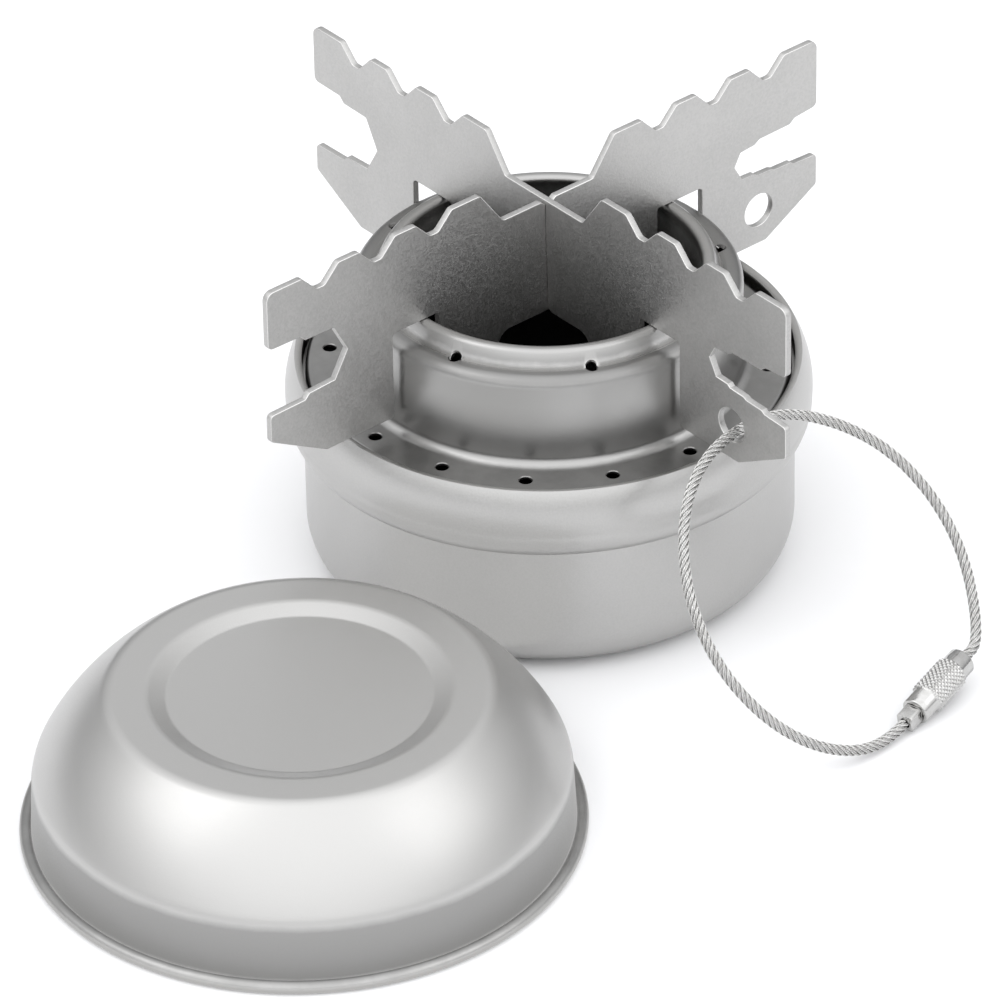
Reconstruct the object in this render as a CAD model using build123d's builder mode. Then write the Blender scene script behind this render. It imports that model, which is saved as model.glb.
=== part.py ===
"""Alcohol spirit stove: double-wall burner, cross pot stand, lid and wire-rope lanyard.

Millimetres. The origin is on the burner's axis, on the floor that it stands on.
+Z is up. The lower stand plate lies along X and the upper one along Y.
"""

from build123d import *
import math
import os

os.makedirs("parts", exist_ok=True)

# ---------------------------------------------------------------- burner sizes
SHEET = 0.45            # thickness of the pressed titanium sheet
LIP_Z = 31.3            # height of the shoulder's inner lip over the floor
CUP_R = 34.5            # outside radius of the cup's straight wall
CUP_CORNER = 6.4        # outside radius between the cup's wall and its base
CUP_TOP = LIP_Z - 2.5   # the cup's edge, hidden under the shoulder

LIP_R = 34.5            # radius of the shoulder's inner lip
CREST_R = 35.5          # the shoulder's highest circle
CREST_RISE = 0.35       # how far that crest stands above the lip
BULGE_R = 36.9          # the shoulder's widest circle
BULGE_DROP = 6.5        # how far the widest circle lies below the lip
SEAM_R = 35.75          # the shoulder's lower edge
SEAM_DROP = 9.97
CUP_FIT = 0.03          # gap between the shoulder's hem and the cup

TROUGH_DROP = 1.0       # trough floor below the lip
TROUGH_R = 34.02        # outside radius of the trough's skirt
SKIRT_DROP = 7.0        # the skirt's lower edge below the lip
NECK_R = 27.3           # outside radius of the neck's wall
NECK_RISE = 13.0        # the neck's top face above the lip
NECK_SEAT_R = 24.4      # where the neck's top face meets the inner sleeve
NECK_FOOT = 1.5         # fillet between the trough and the neck
NECK_ROUND = 1.6        # rounding of the neck's top edge

WELL_R = 21.5           # inside radius of the inner sleeve
RIM_CREST_R = 22.45     # the rolled rim's highest circle
RIM_CREST = 15.3        # the rolled rim's top above the lip

LOWER_JETS = 16
LOWER_JET_R = 30.8
LOWER_JET_D = 1.85
LOWER_JET_START = -1.5  # degrees from +X to the first lower jet
UPPER_JETS = 8
UPPER_JET_R = 24.5
UPPER_JET_D = 1.6
UPPER_JET_START = 18.6  # degrees from +X to the first upper jet
UPPER_JET_TILT = 40.0   # degrees that an upper jet leans outward from vertical
FUEL_PORTS = 6
FUEL_PORT_D = 3.0
FUEL_PORT_Z = 2.6

# ------------------------------------------------------------- pot stand sizes
PLATE_T = 1.0           # thickness of the stand plates
PLATE_R = 50.0          # half the length of a plate
LAP_WIDTH = PLATE_T + 0.1
LAP_Z = LIP_Z + 16.4    # where the two half-lap slots meet
LAP_GAP = 0.05          # play between the two slot ends
MIDDLE_TOP = 25.3       # heights below are above the lip
TOOTH_TOP = 30.9
NOTCH = 28.3
WING_FOOT = 1.7
SLOT_TOP = RIM_CREST + 0.05
SLOT_IN = 20.0          # the slot over the neck, from this radius
SLOT_OUT = 28.3         # to this one
ARCH_R = 9.4            # half width of the arch under the plates' middle
ARCH_TOP = 7.3
HOLE_R = 39.0           # radius at which the lanyard hole stands
HOLE_RISE = 7.2
HOLE_D = 5.2

# -------------------------------------------------------------------- lid sizes
LID_X, LID_Y = -69.8, -30.0   # where the lid lies beside the burner
LID_R = 38.5            # outside radius of the rolled rim
LID_BEAD = 0.9          # radius of the rolled rim's bead
LID_H = 22.5
LID_BAND_R = 36.9       # foot of the near-vertical band
LID_BAND_TOP_R = 36.5
LID_BAND_Z = 9.6
LID_TOP_R = 26.2        # edge of the flat top
LID_PAN_R = 18.0        # flat floor of the shallow pan pressed into the top
LID_PAN_EDGE_R = 20.6   # where the pan's sloping edge meets the flat top
LID_PAN_DEPTH = 0.95

# ---------------------------------------------------------------- lanyard sizes
CABLE_D = 1.6
LOOP_TURN = 5.0         # degrees that the loop's level direction turns from +X
LOOP_LEAN = 38.9        # degrees that the loop leans outward from vertical

# The loop's corners in its own plane: along its level direction, then down it.
# Zero is the centre of the plate's hole.
CLASP_FOOT = (2.4, 47.4)
CLASP_DIR = (0.975, -0.2222)
CABLE_END_S = 10.6      # along the clasp, where the cable's far end stops
CABLE_TURN_S = 18.2     # along the clasp, where the cable's last corner stands
LOOP_CORNERS = [
    (-3.0, 48.63),
    (-11.0, 45.4),
    (-17.0, 39.2),
    (-20.6, 31.2),
    (-21.5, 23.0),
    (-19.6, 14.6),
    (-14.6, 6.8),
    (-7.5, 2.0),
    (0.5, 0.8),
    (8.5, 2.0),
    (15.8, 6.8),
    (21.6, 13.4),
    (24.8, 21.4),
    (25.4, 29.4),
    (23.6, 36.8),
]

FERRULE_W = 2.5         # across the flats of the crimped, threaded ferrule
FERRULE_FLAT = 2.4      # length of its flat-sided part
THREAD_D = 2.9
THREAD_LEN = 2.0
SLEEVE_START = 2.5      # along the clasp, the sleeve's open end
SLEEVE_END = 14.3
SLEEVE_D = 4.1
KNURL_D = 4.9
KNURL_START = 5.4
KNURL_END = 11.8
SLEEVE_BORE = 3.06
SLEEVE_FLOOR = 13.1     # along the clasp, the end wall's inside
SLEEVE_HOLE = 2.0       # the cable's way through the end wall
SLEEVE_SLOT = 1.7       # width of the slot from that hole to the side
STOP_D = 2.9
STOP_START = 11.2
STOP_END = 13.0
STOP_BORE = CABLE_D + 0.1


# =================================================================== the burner
# Cup: straight wall, rounded corner, flat base that stands on the floor.
with BuildPart() as base_cup:
    with BuildSketch(Plane.XZ):
        with BuildLine():
            FilletPolyline(
                (0, 0),
                (CUP_R, 0),
                (CUP_R, CUP_TOP),
                (CUP_R - SHEET, CUP_TOP),
                (CUP_R - SHEET, SHEET),
                (0, SHEET),
                radius=[0, CUP_CORNER, 0, 0, CUP_CORNER - SHEET, 0],
                close=True,
            )
        make_face()
    revolve(axis=Axis.Z)
base_cup.part.label = "base_cup"
export_step(base_cup.part, "parts/base_cup.step")

# Shoulder ring: a bulged skin whose lower edge is hemmed in to grip the cup.
with BuildPart() as shoulder_ring:
    with BuildSketch(Plane.XZ):
        with BuildLine():
            crest = (CREST_R, LIP_Z + CREST_RISE)
            lip = (LIP_R, LIP_Z)
            wide = (BULGE_R, LIP_Z - BULGE_DROP)
            seam = (SEAM_R, LIP_Z - SEAM_DROP)
            hem_r = CUP_R + CUP_FIT
            ThreePointArc(lip, (LIP_R + 0.42, LIP_Z + 0.27), crest)
            shoulder = ThreePointArc(
                crest, (BULGE_R - 0.42, LIP_Z - 1.9), wide
            )
            ThreePointArc(wide, (BULGE_R - 0.3, LIP_Z - 8.6), seam)
            Polyline(
                seam,
                (hem_r, seam[1]),
                (hem_r, seam[1] + SHEET),
                (SEAM_R - 0.55, seam[1] + SHEET),
            )
            inner_wide = (BULGE_R - SHEET, LIP_Z - BULGE_DROP)
            inner_crest = (CREST_R, LIP_Z + CREST_RISE - SHEET)
            ThreePointArc(
                (SEAM_R - 0.55, seam[1] + SHEET),
                (BULGE_R - SHEET - 0.22, LIP_Z - 8.4),
                inner_wide,
            )
            ThreePointArc(
                inner_wide, (BULGE_R - SHEET - 0.42, LIP_Z - 2.2), inner_crest
            )
            ThreePointArc(
                inner_crest,
                (LIP_R + 0.52, LIP_Z - 0.17),
                (LIP_R + 0.12, LIP_Z - 0.42),
            )
            Line((LIP_R + 0.12, LIP_Z - 0.42), lip)
        make_face()
    revolve(axis=Axis.Z)
shoulder_ring.part.label = "shoulder_ring"
export_step(shoulder_ring.part, "parts/shoulder_ring.step")

# Neck: the trough with its skirt, the upright wall and the narrow top face.
with BuildPart() as burner_neck:
    trough_z = LIP_Z - TROUGH_DROP
    neck_z = LIP_Z + NECK_RISE
    with BuildSketch(Plane.XZ):
        with BuildLine():
            FilletPolyline(
                (TROUGH_R, LIP_Z - SKIRT_DROP),
                (TROUGH_R, trough_z),
                (NECK_R, trough_z),
                (NECK_R, neck_z),
                (NECK_SEAT_R + 0.6, neck_z),
                (NECK_SEAT_R, neck_z - 0.25),
                (NECK_SEAT_R, neck_z - 0.25 - SHEET),
                (NECK_SEAT_R + 0.6, neck_z - SHEET),
                (NECK_R - SHEET, neck_z - SHEET),
                (NECK_R - SHEET, trough_z - SHEET),
                (TROUGH_R - SHEET, trough_z - SHEET),
                (TROUGH_R - SHEET, LIP_Z - SKIRT_DROP),
                radius=[
                    0, 0.7, NECK_FOOT, NECK_ROUND, 0.3, 0,
                    0, 0, NECK_ROUND - SHEET, NECK_FOOT + SHEET, 0.25, 0,
                ],
                close=True,
            )
        make_face()
    revolve(axis=Axis.Z)
    with BuildSketch(Plane.XY.offset(trough_z + 1)):
        with PolarLocations(LOWER_JET_R, LOWER_JETS, start_angle=LOWER_JET_START):
            Circle(LOWER_JET_D / 2)
    extrude(amount=-3, mode=Mode.SUBTRACT)
    for k in range(UPPER_JETS):
        turn = UPPER_JET_START + k * 360 / UPPER_JETS
        radial = Vector(math.cos(math.radians(turn)), math.sin(math.radians(turn)), 0)
        lean = math.radians(UPPER_JET_TILT)
        out = radial * math.sin(lean) + Vector(0, 0, math.cos(lean))
        jet_at = radial * UPPER_JET_R + Vector(0, 0, neck_z - 0.1)
        with BuildSketch(Plane(origin=jet_at - out * 1.2, z_dir=out)):
            Circle(UPPER_JET_D / 2)
        extrude(amount=3.0, mode=Mode.SUBTRACT)
burner_neck.part.label = "burner_neck"
export_step(burner_neck.part, "parts/burner_neck.step")

# Inner sleeve: the fuel well's wall, open to the cup at its foot, with a rolled
# rim whose outer side falls as a cone to the neck's top face.
with BuildPart() as inner_sleeve:
    rim_z = LIP_Z + RIM_CREST
    seat_z = LIP_Z + NECK_RISE - 0.25
    with BuildSketch(Plane.XZ):
        with BuildLine():
            FilletPolyline(
                (WELL_R, SHEET),
                (WELL_R, rim_z),
                (RIM_CREST_R + 0.75, rim_z),
                (NECK_SEAT_R, seat_z),
                (NECK_SEAT_R - 0.05, seat_z - SHEET),
                (NECK_SEAT_R - 0.55, seat_z - SHEET),
                (RIM_CREST_R + 0.4, rim_z - 0.85),
                (WELL_R + SHEET, rim_z - 0.85),
                (WELL_R + SHEET, SHEET),
                radius=[0, 0.85, 0.85, 0, 0, 0, 0.2, 0.3, 0],
                close=True,
            )
        make_face()
    revolve(axis=Axis.Z)
    for k in range(FUEL_PORTS):
        turn = 30 + k * 360 / FUEL_PORTS
        radial = Vector(math.cos(math.radians(turn)), math.sin(math.radians(turn)), 0)
        port_at = radial * (WELL_R - 1) + Vector(0, 0, FUEL_PORT_Z)
        with BuildSketch(Plane(origin=port_at, z_dir=radial)):
            Circle(FUEL_PORT_D / 2)
        extrude(amount=3, mode=Mode.SUBTRACT)
    for k in range(UPPER_JETS):
        turn = UPPER_JET_START + k * 360 / UPPER_JETS
        radial = Vector(math.cos(math.radians(turn)), math.sin(math.radians(turn)), 0)
        lean = math.radians(UPPER_JET_TILT)
        out = radial * math.sin(lean) + Vector(0, 0, math.cos(lean))
        jet_at = radial * UPPER_JET_R + Vector(0, 0, LIP_Z + NECK_RISE - 0.1)
        with BuildSketch(Plane(origin=jet_at - out * 1.2, z_dir=out)):
            Circle(UPPER_JET_D / 2)
        extrude(amount=3.0, mode=Mode.SUBTRACT)
inner_sleeve.part.label = "inner_sleeve"
export_step(inner_sleeve.part, "parts/inner_sleeve.step")


# ================================================================ the pot stand
# Corners as (radius, height over the lip, rounding). The teeth carry the pot,
# and each tip is forked. The plain tip has one step on each side of its fork.
TEETH = [
    (8.2, MIDDLE_TOP, 0.8),
    (12.2, TOOTH_TOP, 0.8),
    (17.3, TOOTH_TOP, 0.8),
    (19.8, NOTCH, 0.9),
    (21.2, NOTCH, 0.9),
    (23.7, TOOTH_TOP, 0.8),
    (27.4, TOOTH_TOP, 0.8),
    (29.9, NOTCH, 0.9),
    (31.3, NOTCH, 0.9),
    (33.8, TOOTH_TOP, 0.8),
    (37.4, TOOTH_TOP, 0.8),
    (39.9, NOTCH, 0.9),
    (41.3, NOTCH, 0.9),
    (43.8, TOOTH_TOP, 0.8),
    (PLATE_R, TOOTH_TOP, 1.3),
]
PLAIN_FORK = [
    (PLATE_R, 21.9, 0.9),
    (44.4, 21.8, 0.2),
    (43.5, 20.9, 0.2),
    (38.6, 20.8, 0.4),
    (36.3, 16.4, 0),
    (38.6, 12.4, 0),
    (43.1, 12.2, 0),
    (43.9, 11.4, 0),
    (PLATE_R, 11.3, 0.7),
]
PIERCED_FORK = [
    (PLATE_R, 20.1, 0.9),
    (45.8, 19.7, 0.2),
    (44.9, 19.0, 0.2),
    (39.2, 18.9, 0.2),
    (38.2, 18.3, 0.2),
    (35.6, 18.1, 0.3),
    (34.5, 16.1, 0),
    (35.9, 13.6, 0),
    (38.2, 13.5, 0),
    (38.7, 13.1, 0),
    (41.4, 13.0, 0),
    (42.0, 12.7, 0),
    (45.1, 12.6, 0),
    (45.7, 12.2, 0),
    (PLATE_R, 12.0, 0.7),
]
WING_BASE = [
    (PLATE_R, 7.1, 0.6),
    (40.4, WING_FOOT, 0.8),
    (SLOT_OUT, WING_FOOT, 0.5),
    (SLOT_OUT, SLOT_TOP, 0.7),
    (SLOT_IN, SLOT_TOP, 0.4),
    (SLOT_IN, WING_FOOT, 0.5),
    (ARCH_R, WING_FOOT, 0.5),
    (ARCH_R, ARCH_TOP, 2.2),
]


def plate_outline(left_fork, right_fork):
    """Corner points and roundings of a whole plate, clockwise from the middle."""
    right = TEETH + right_fork + WING_BASE
    left = TEETH + left_fork + WING_BASE
    corners = [(r, LIP_Z + z) for r, z, _ in right]
    corners += [(-r, LIP_Z + z) for r, z, _ in reversed(left)]
    rounds = [q for _, _, q in right] + [q for _, _, q in reversed(left)]
    return corners, rounds


# Lower plate, along X: its half-lap slot is open at the top.
with BuildPart() as stand_plate_lower:
    corners, rounds = plate_outline(PLAIN_FORK, PIERCED_FORK)
    with BuildSketch(Plane.XZ.offset(-PLATE_T / 2)):
        with BuildLine():
            FilletPolyline(*corners, radius=rounds, close=True)
        make_face()
        with Locations((HOLE_R, LIP_Z + HOLE_RISE)):
            Circle(HOLE_D / 2, mode=Mode.SUBTRACT)
        with BuildLine(mode=Mode.ADD):
            FilletPolyline(
                (-LAP_WIDTH / 2, LAP_Z),
                (LAP_WIDTH / 2, LAP_Z),
                (LAP_WIDTH / 2, LIP_Z + MIDDLE_TOP - 0.6),
                (LAP_WIDTH / 2 + 0.9, LIP_Z + MIDDLE_TOP + 0.3),
                (-LAP_WIDTH / 2 - 0.9, LIP_Z + MIDDLE_TOP + 0.3),
                (-LAP_WIDTH / 2, LIP_Z + MIDDLE_TOP - 0.6),
                radius=0,
                close=True,
            )
        make_face(mode=Mode.SUBTRACT)
    extrude(amount=PLATE_T)
stand_plate_lower.part.label = "stand_plate_lower"
export_step(stand_plate_lower.part, "parts/stand_plate_lower.step")

# Upper plate, along Y: its slot is open at the bottom, in the arch. The lanyard
# goes through the hole of its -Y tip.
with BuildPart() as stand_plate_upper:
    corners, rounds = plate_outline(PIERCED_FORK, PLAIN_FORK)
    with BuildSketch(Plane.YZ.offset(-PLATE_T / 2)):
        with BuildLine():
            FilletPolyline(*corners, radius=rounds, close=True)
        make_face()
        with Locations((-HOLE_R, LIP_Z + HOLE_RISE)):
            Circle(HOLE_D / 2, mode=Mode.SUBTRACT)
        with BuildLine(mode=Mode.ADD):
            FilletPolyline(
                (-LAP_WIDTH / 2, LAP_Z + LAP_GAP),
                (LAP_WIDTH / 2, LAP_Z + LAP_GAP),
                (LAP_WIDTH / 2, LIP_Z + ARCH_TOP + 0.5),
                (LAP_WIDTH / 2 + 0.8, LIP_Z + ARCH_TOP - 0.3),
                (-LAP_WIDTH / 2 - 0.8, LIP_Z + ARCH_TOP - 0.3),
                (-LAP_WIDTH / 2, LIP_Z + ARCH_TOP + 0.5),
                radius=0,
                close=True,
            )
        make_face(mode=Mode.SUBTRACT)
    extrude(amount=PLATE_T)
stand_plate_upper.part.label = "stand_plate_upper"
export_step(stand_plate_upper.part, "parts/stand_plate_upper.step")


# ====================================================================== the lid
# A domed cap lying mouth down: rolled rim, upright band, curved slope, and a flat
# top with a shallow round pan pressed into it.
with BuildPart() as lid:
    with BuildSketch(Plane(origin=(LID_X, LID_Y, 0), x_dir=(1, 0, 0), z_dir=(0, -1, 0))):
        with BuildLine():
            bead_c = LID_R - LID_BEAD
            skin = 0.5
            slope_mid = ((LID_BAND_TOP_R + LID_TOP_R) / 2 + 0.75, (LID_BAND_Z + LID_H) / 2 + 0.62)
            slope_in = (slope_mid[0] - skin * 0.72, slope_mid[1] - skin * 0.72)
            top_edge = (LID_TOP_R + 0.35, LID_H - 0.42)
            flat_edge = (LID_TOP_R - 1.3, LID_H)
            under_edge = (LID_TOP_R - 0.05, LID_H - 0.42 - skin * 0.8)
            under_flat = (LID_TOP_R - 1.3, LID_H - skin)
            bead_in = LID_R - LID_BEAD - LID_BAND_R + skin
            half = 1 - math.sqrt(0.5)
            ThreePointArc(
                (LID_BAND_R - skin, bead_in),
                (LID_BAND_R - skin + bead_in * half, bead_in * half),
                (bead_c, 0),
            )
            ThreePointArc(
                (bead_c, 0),
                (LID_R - LID_BEAD * half, LID_BEAD * half),
                (LID_R, LID_BEAD),
            )
            ThreePointArc(
                (LID_R, LID_BEAD),
                (bead_c + 0.2, 2 * LID_BEAD - 0.03),
                (LID_BAND_R, LID_BEAD * 1.6),
            )
            Line((LID_BAND_R, LID_BEAD * 1.6), (LID_BAND_TOP_R, LID_BAND_Z))
            ThreePointArc((LID_BAND_TOP_R, LID_BAND_Z), slope_mid, top_edge)
            ThreePointArc(top_edge, (LID_TOP_R - 0.42, LID_H - 0.09), flat_edge)
            Polyline(
                flat_edge,
                (LID_PAN_EDGE_R, LID_H),
                (LID_PAN_R, LID_H - LID_PAN_DEPTH),
                (0, LID_H - LID_PAN_DEPTH),
                (0, LID_H - LID_PAN_DEPTH - skin),
                (LID_PAN_R + 0.1, LID_H - LID_PAN_DEPTH - skin),
                (LID_PAN_EDGE_R + 0.1, LID_H - skin),
                under_flat,
            )
            ThreePointArc(
                under_flat, (LID_TOP_R - 0.6, LID_H - skin - 0.08), under_edge
            )
            ThreePointArc(
                under_edge, slope_in, (LID_BAND_TOP_R - skin, LID_BAND_Z)
            )
            Line((LID_BAND_TOP_R - skin, LID_BAND_Z), (LID_BAND_R - skin, bead_in))
        make_face()
    revolve(axis=Axis((LID_X, LID_Y, 0), (0, 0, 1)))
lid.part.label = "lid"
export_step(lid.part, "parts/lid.step")


# ================================================================== the lanyard
# The loop lies in a plane through the hole, leaning outward onto the floor.
turn = math.radians(LOOP_TURN)
lean = math.radians(LOOP_LEAN)
level = Vector(math.cos(turn), math.sin(turn), 0)
down = Vector(math.sin(turn) * math.sin(lean), -math.cos(turn) * math.sin(lean), -math.cos(lean))
hole = Vector(0, -HOLE_R, LIP_Z + HOLE_RISE)
loop_plane = Plane(origin=hole, x_dir=level, z_dir=level.cross(down))


def along_clasp(s):
    """The point s millimetres along the clasp from the threaded ferrule's face."""
    return (CLASP_FOOT[0] + CLASP_DIR[0] * s, CLASP_FOOT[1] + CLASP_DIR[1] * s)


def clasp_plane(s):
    """A plane square to the clasp, s millimetres along it, its x axis in the loop."""
    u, v = along_clasp(s)
    axis = level * CLASP_DIR[0] + down * CLASP_DIR[1]
    inward = level * CLASP_DIR[1] - down * CLASP_DIR[0]
    return Plane(origin=hole + level * u + down * v, x_dir=inward, z_dir=axis)


# Cable: straight runs with tangent arcs, from the threaded ferrule round through
# the plate's hole and back into the clasp.
route = [CLASP_FOOT] + LOOP_CORNERS + [along_clasp(CABLE_TURN_S), along_clasp(CABLE_END_S)]
radii = []
for before, corner, after in zip(route, route[1:], route[2:]):
    run_in = Vector(*corner) - Vector(*before)
    run_out = Vector(*after) - Vector(*corner)
    half_turn = math.radians(run_in.get_angle(run_out)) / 2
    radii.append(0.45 * min(run_in.length, run_out.length) / math.tan(half_turn))
print("cable corner radii, mm:", [round(r, 1) for r in radii])

with BuildPart() as lanyard_cable:
    with BuildLine(loop_plane) as cable_line:
        FilletPolyline(*route, radius=radii)
    cable_path = cable_line.wire()
    with BuildSketch(Plane(origin=cable_path @ 0, z_dir=cable_path % 0)):
        Circle(CABLE_D / 2)
    sweep(path=cable_path)
lanyard_cable.part.label = "lanyard_cable"
export_step(lanyard_cable.part, "parts/lanyard_cable.step")
cable_length = cable_path.length
print("cable length, mm:", round(cable_length, 1))
print("cable volume, mm3:", round(lanyard_cable.part.volume, 2))
print("section times length:", round(math.pi * CABLE_D**2 / 4 * cable_length, 2))

# Threaded ferrule: flats crimped onto the cable, then a short threaded shank.
with BuildPart() as threaded_ferrule:
    with BuildSketch(clasp_plane(0)):
        Rectangle(FERRULE_W, FERRULE_W, rotation=LOOP_LEAN)
    extrude(amount=FERRULE_FLAT)
    with BuildSketch(clasp_plane(FERRULE_FLAT)):
        Circle(THREAD_D / 2)
    extrude(amount=THREAD_LEN)
threaded_ferrule.part.label = "threaded_ferrule"
export_step(threaded_ferrule.part, "parts/threaded_ferrule.step")

# Stop ferrule: a plain collar on the cable's other end, loose inside the sleeve.
with BuildPart() as stop_ferrule:
    with BuildSketch(clasp_plane(STOP_START)):
        Circle(STOP_D / 2)
        Circle(STOP_BORE / 2, mode=Mode.SUBTRACT)
    extrude(amount=STOP_END - STOP_START)
stop_ferrule.part.label = "stop_ferrule"
export_step(stop_ferrule.part, "parts/stop_ferrule.step")

# Clasp sleeve: a turned tube with a raised, knurled middle. Its far end has a
# wall with the cable's hole and a slot through which the cable was put in.
sleeve_len = SLEEVE_END - SLEEVE_START
with BuildPart() as clasp_sleeve:
    with BuildSketch(clasp_plane(SLEEVE_START)):
        Circle(SLEEVE_D / 2)
        Circle(SLEEVE_HOLE / 2, mode=Mode.SUBTRACT)
    extrude(amount=sleeve_len)
    with BuildSketch(clasp_plane(KNURL_START)):
        Circle(KNURL_D / 2)
        Circle(SLEEVE_D / 2 - 0.1, mode=Mode.SUBTRACT)
    extrude(amount=KNURL_END - KNURL_START)
    with BuildSketch(clasp_plane(SLEEVE_START)):
        Circle(SLEEVE_BORE / 2)
    extrude(amount=SLEEVE_FLOOR - SLEEVE_START, mode=Mode.SUBTRACT)
    with BuildSketch(clasp_plane(SLEEVE_FLOOR - 0.4)):
        with Locations((-SLEEVE_D / 2, 0)):
            Rectangle(SLEEVE_D, SLEEVE_SLOT)
    extrude(amount=SLEEVE_END - SLEEVE_FLOOR + 1, mode=Mode.SUBTRACT)
clasp_sleeve.part.label = "clasp_sleeve"
export_step(clasp_sleeve.part, "parts/clasp_sleeve.step")
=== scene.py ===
"""Alcohol spirit stove: burner, crossed pot stand, lid and wire-rope lanyard.

Metres, in the part's own frame. Sizes below are in millimetres, and MM turns
them into metres.
"""
import math

import bmesh
import bpy
from mathutils import Matrix, Vector


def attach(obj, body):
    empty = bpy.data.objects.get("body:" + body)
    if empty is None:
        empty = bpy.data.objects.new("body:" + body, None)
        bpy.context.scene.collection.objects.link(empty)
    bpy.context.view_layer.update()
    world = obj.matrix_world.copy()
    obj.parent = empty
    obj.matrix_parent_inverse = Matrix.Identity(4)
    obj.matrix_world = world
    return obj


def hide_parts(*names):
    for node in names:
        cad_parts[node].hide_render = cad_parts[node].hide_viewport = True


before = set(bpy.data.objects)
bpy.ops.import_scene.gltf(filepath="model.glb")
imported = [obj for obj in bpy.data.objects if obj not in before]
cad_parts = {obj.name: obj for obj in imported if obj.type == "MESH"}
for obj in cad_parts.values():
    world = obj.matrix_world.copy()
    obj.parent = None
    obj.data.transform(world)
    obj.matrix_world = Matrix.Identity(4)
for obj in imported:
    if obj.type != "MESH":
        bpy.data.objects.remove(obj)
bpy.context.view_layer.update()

MM = 0.001
LIP = 31.3                      # the shoulder's inner lip over the floor
LID_AT = (-69.8, -30.0)         # the lid's axis
TITANIUM = (1.0, 0.992, 0.975)  # the metal's slight warmth, as a factor on its tone
WARM, WARMER = (0.94, 0.93, 0.91), (1.04, 1.035, 1.02)  # the steel's range, as factors on its tone
FINE_BUMP = 0.00004             # height of the frosted grain, in metres
LOWER_JET_COUNT, LOWER_JET_R, LOWER_JET_START, LOWER_JET_D = 16, 30.8, -1.5, 1.85
UPPER_JET_COUNT, UPPER_JET_R, UPPER_JET_START, UPPER_JET_D = 8, 24.5, 18.6, 1.6
UPPER_JET_LEAN = 40             # degrees off vertical
FUEL_PORT_COUNT, FUEL_PORT_START, FUEL_PORT_Z, FUEL_PORT_D = 6, 30, 2.6, 3.0
DRILL_DEPTH = 1.5
ROPE_D = 1.6
HOLE_R, HOLE_Z = 2.6, 7.2       # the plates' lanyard holes, Z over the lip


# ------------------------------------------------------------------ the camera
# The camera looks along an azimuth between the stand plates, 34 degrees down.
AZIMUTH = math.radians(39.84)
PITCH = math.radians(34.085)
ROLL = math.radians(-1.05)
cam_data = bpy.data.cameras.new("camera")
cam = bpy.data.objects.new("camera", cam_data)
bpy.context.scene.collection.objects.link(cam)
ahead = Vector((
    math.sin(AZIMUTH) * math.cos(PITCH), math.cos(AZIMUTH) * math.cos(PITCH), -math.sin(PITCH),
))
flat_right = Vector((math.cos(AZIMUTH), -math.sin(AZIMUTH), 0.0))
flat_up = flat_right.cross(ahead)
cam_right = flat_right * math.cos(ROLL) + flat_up * math.sin(ROLL)
cam_up = flat_up * math.cos(ROLL) - flat_right * math.sin(ROLL)
pose = Matrix((cam_right, cam_up, -ahead)).transposed().to_4x4()
pose.translation = Vector((-0.64578, -0.76286, 0.68269))
cam.matrix_world = pose
cam_data.sensor_width = 36.0
cam_data.lens = 307.25
cam_data.clip_start = 0.05
cam_data.clip_end = 20.0
bpy.context.scene.camera = cam


# ------------------------------------------------------------------- materials
def nodes_of(name):
    """A new node material: its tree, its shader and its object coordinates."""
    mat = bpy.data.materials.new(name)
    mat.use_nodes = True
    tree = mat.node_tree
    shader = tree.nodes["Principled BSDF"]
    where = tree.nodes.new("ShaderNodeTexCoord")
    return mat, tree, shader, where.outputs["Object"]


def noise(tree, where, scale, detail=2.0, rough=0.5):
    tex = tree.nodes.new("ShaderNodeTexNoise")
    tex.inputs["Scale"].default_value = scale
    tex.inputs["Detail"].default_value = detail
    tex.inputs["Roughness"].default_value = rough
    tree.links.new(where, tex.inputs["Vector"])
    return tex.outputs["Fac"]


def ramp(tree, fac, stops):
    node = tree.nodes.new("ShaderNodeValToRGB")
    band = node.color_ramp
    while len(band.elements) < len(stops):
        band.elements.new(0.5)
    for element, (at, colour) in zip(band.elements, stops):
        element.position = at
        element.color = (colour[0], colour[1], colour[2], 1.0)
    tree.links.new(fac, node.inputs["Fac"])
    return node.outputs["Color"]


def spread(tree, fac, low, high):
    node = tree.nodes.new("ShaderNodeMapRange")
    node.inputs["From Min"].default_value = 0.3
    node.inputs["From Max"].default_value = 0.7
    node.inputs["To Min"].default_value = low
    node.inputs["To Max"].default_value = high
    tree.links.new(fac, node.inputs["Value"])
    return node.outputs["Result"]


def bump(tree, shader, height, strength, distance):
    node = tree.nodes.new("ShaderNodeBump")
    node.inputs["Strength"].default_value = strength
    node.inputs["Distance"].default_value = distance
    tree.links.new(height, node.inputs["Height"])
    tree.links.new(node.outputs["Normal"], shader.inputs["Normal"])


def blasted_titanium(name, tone, rough, grain=0.2, speckle=0.015, size=5200.0):
    """Bead-blasted titanium: a fine frosted grain with faint cloudy patches."""
    mat, tree, shader, where = nodes_of(name)
    shader.inputs["Metallic"].default_value = 1.0
    cloud = noise(tree, where, 45.0, 3.0, 0.55)
    fine = noise(tree, where, size, 2.0, 0.6)
    mix = tree.nodes.new("ShaderNodeMix")
    mix.inputs[0].default_value = 0.6
    tree.links.new(cloud, mix.inputs[2])
    tree.links.new(fine, mix.inputs[3])
    low = tuple(tone * (1 - speckle) * c for c in TITANIUM)
    high = tuple(tone * (1 + speckle) * c for c in TITANIUM)
    tree.links.new(ramp(tree, mix.outputs[0], [(0.36, low), (0.64, high)]), shader.inputs["Base Color"])
    tree.links.new(spread(tree, fine, rough[0], rough[1]), shader.inputs["Roughness"])
    bump(tree, shader, fine, grain, FINE_BUMP)
    return mat


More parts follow.
